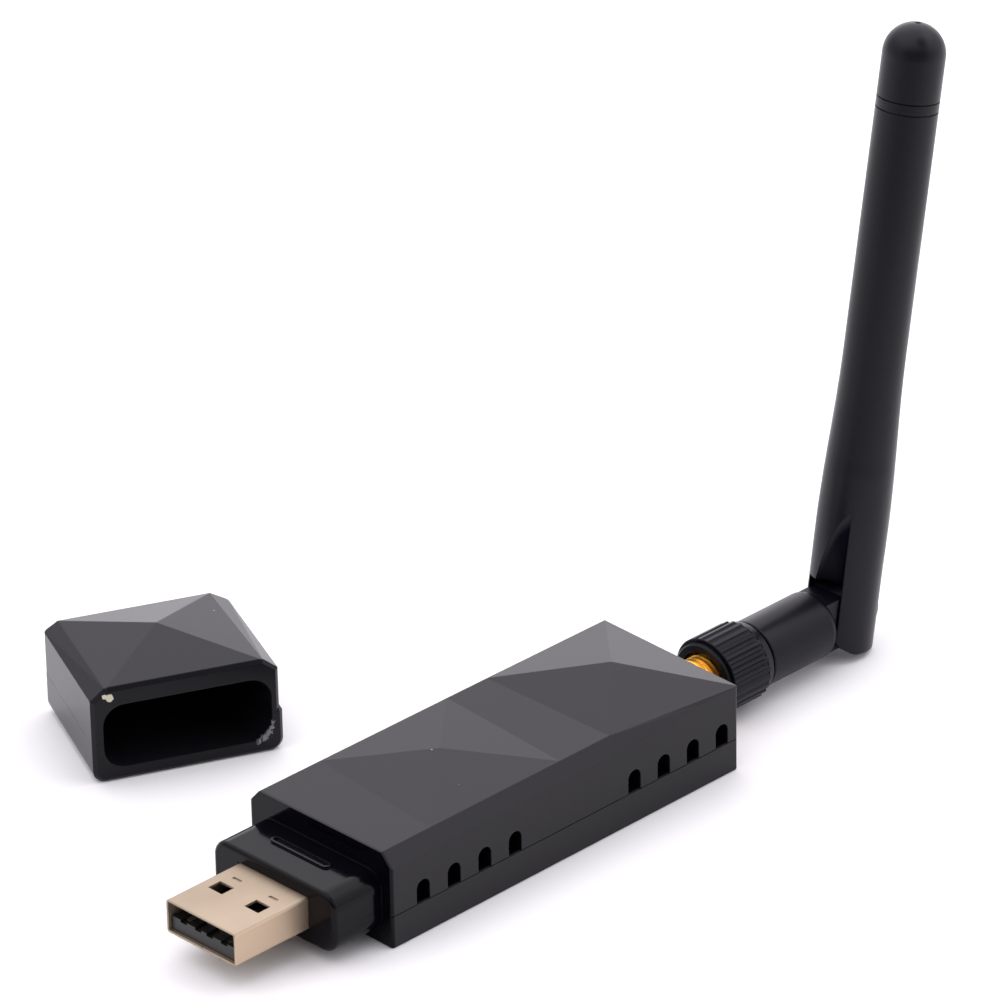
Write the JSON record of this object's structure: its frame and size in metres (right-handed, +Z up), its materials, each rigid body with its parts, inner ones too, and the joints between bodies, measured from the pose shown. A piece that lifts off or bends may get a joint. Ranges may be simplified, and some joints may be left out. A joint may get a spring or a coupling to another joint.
{
  "type": "usb wifi adapter",
  "caption": "Black plug-in wireless network stick with a faceted, vented housing, a metal plug, a separate plug cap and a screw-on hinged whip antenna.",
  "frame": {"origin": "centre of the housing's flat underside, which rests on the table", "axes": "+X from the plug to the antenna, +Y to the left seen from the plug looking to the antenna, +Z up"},
  "size_m": [0.1281, 0.0738, 0.0828],
  "materials": {
    "housing_plastic": "black satin-gloss moulded plastic",
    "cap_plastic": "black satin-gloss moulded plastic",
    "plug_metal": "champagne nickel plate on folded sheet",
    "tongue_plastic": "black moulded insulator",
    "gold_metal": "gold-plated brass",
    "board_laminate": "black solder mask on glass laminate",
    "chip_plastic": "black moulding compound",
    "can_metal": "tinned steel sheet",
    "ceramic": "tan ceramic",
    "led_lens": "clear-white moulded lens",
    "white_insulator": "white fluoropolymer insulator",
    "nut_plastic": "black knurled plastic",
    "nut_metal": "plated brass insert",
    "antenna_plastic": "black satin moulded plastic",
    "cable_jacket": "thin coaxial cable jacket",
    "copper": "bare copper"
  },
  "bodies": {
    "housing": {"top_cover": "housing_plastic", "bottom_cover": "housing_plastic", "usb_shell": "plug_metal", "usb_tongue": "tongue_plastic", "usb_contacts": "gold_metal", "circuit_board": "board_laminate", "wifi_chip": "chip_plastic", "memory_chip": "chip_plastic", "crystal": "can_metal", "regulator": "chip_plastic", "power_inductor": "chip_plastic", "amplifier_chip": "chip_plastic", "shield_can": "can_metal", "capacitors": "ceramic", "resistors": "chip_plastic", "status_led": "led_lens", "antenna_jack": "gold_metal", "jack_insulator": "white_insulator", "jack_pin": "gold_metal"},
    "cap": {"cap_top_shell": "cap_plastic", "cap_bottom_shell": "cap_plastic"},
    "connector": {"antenna_ferrule": "gold_metal", "ferrule_insulator": "white_insulator", "socket_contact": "gold_metal"},
    "coupling_nut": {"nut_sleeve": "nut_plastic", "nut_insert": "nut_metal"},
    "elbow": {"elbow_barrel": "antenna_plastic", "lower_coax": "cable_jacket"},
    "whip": {"whip_sleeve": "antenna_plastic", "tip_cap": "antenna_plastic", "upper_coax": "cable_jacket", "dipole_tube": "copper", "radiator_wire": "copper"}
  },
  "joints": [
    {"name": "cap_lift", "type": "slide", "parent": "housing", "child": "cap", "axis": [0, 0, 1], "range_m": [0, 0.04]},
    {"name": "antenna_draw", "type": "slide", "parent": "housing", "child": "connector", "axis": [1, 0, 0], "range_m": [0, 0.00353]},
    {"name": "nut_spin", "type": "hinge", "parent": "connector", "child": "coupling_nut", "pos_m": [0.04, 0, 0.00548], "axis": [1, 0, 0], "range_deg": [0, 1800]},
    {"name": "antenna_swivel", "type": "hinge", "parent": "connector", "child": "elbow", "pos_m": [0.0503, 0, 0.00548], "axis": [1, 0, 0], "continuous": true},
    {"name": "antenna_tilt", "type": "hinge", "parent": "elbow", "child": "whip", "pos_m": [0.0619, 0, 0.00548], "axis": [0, 1, 0], "range_deg": [-9.9, 80.1]}
  ],
  "couplings": [
    {"joint": "nut_spin", "follows": "antenna_draw", "rad_per_m": 8905.3}
  ]
}
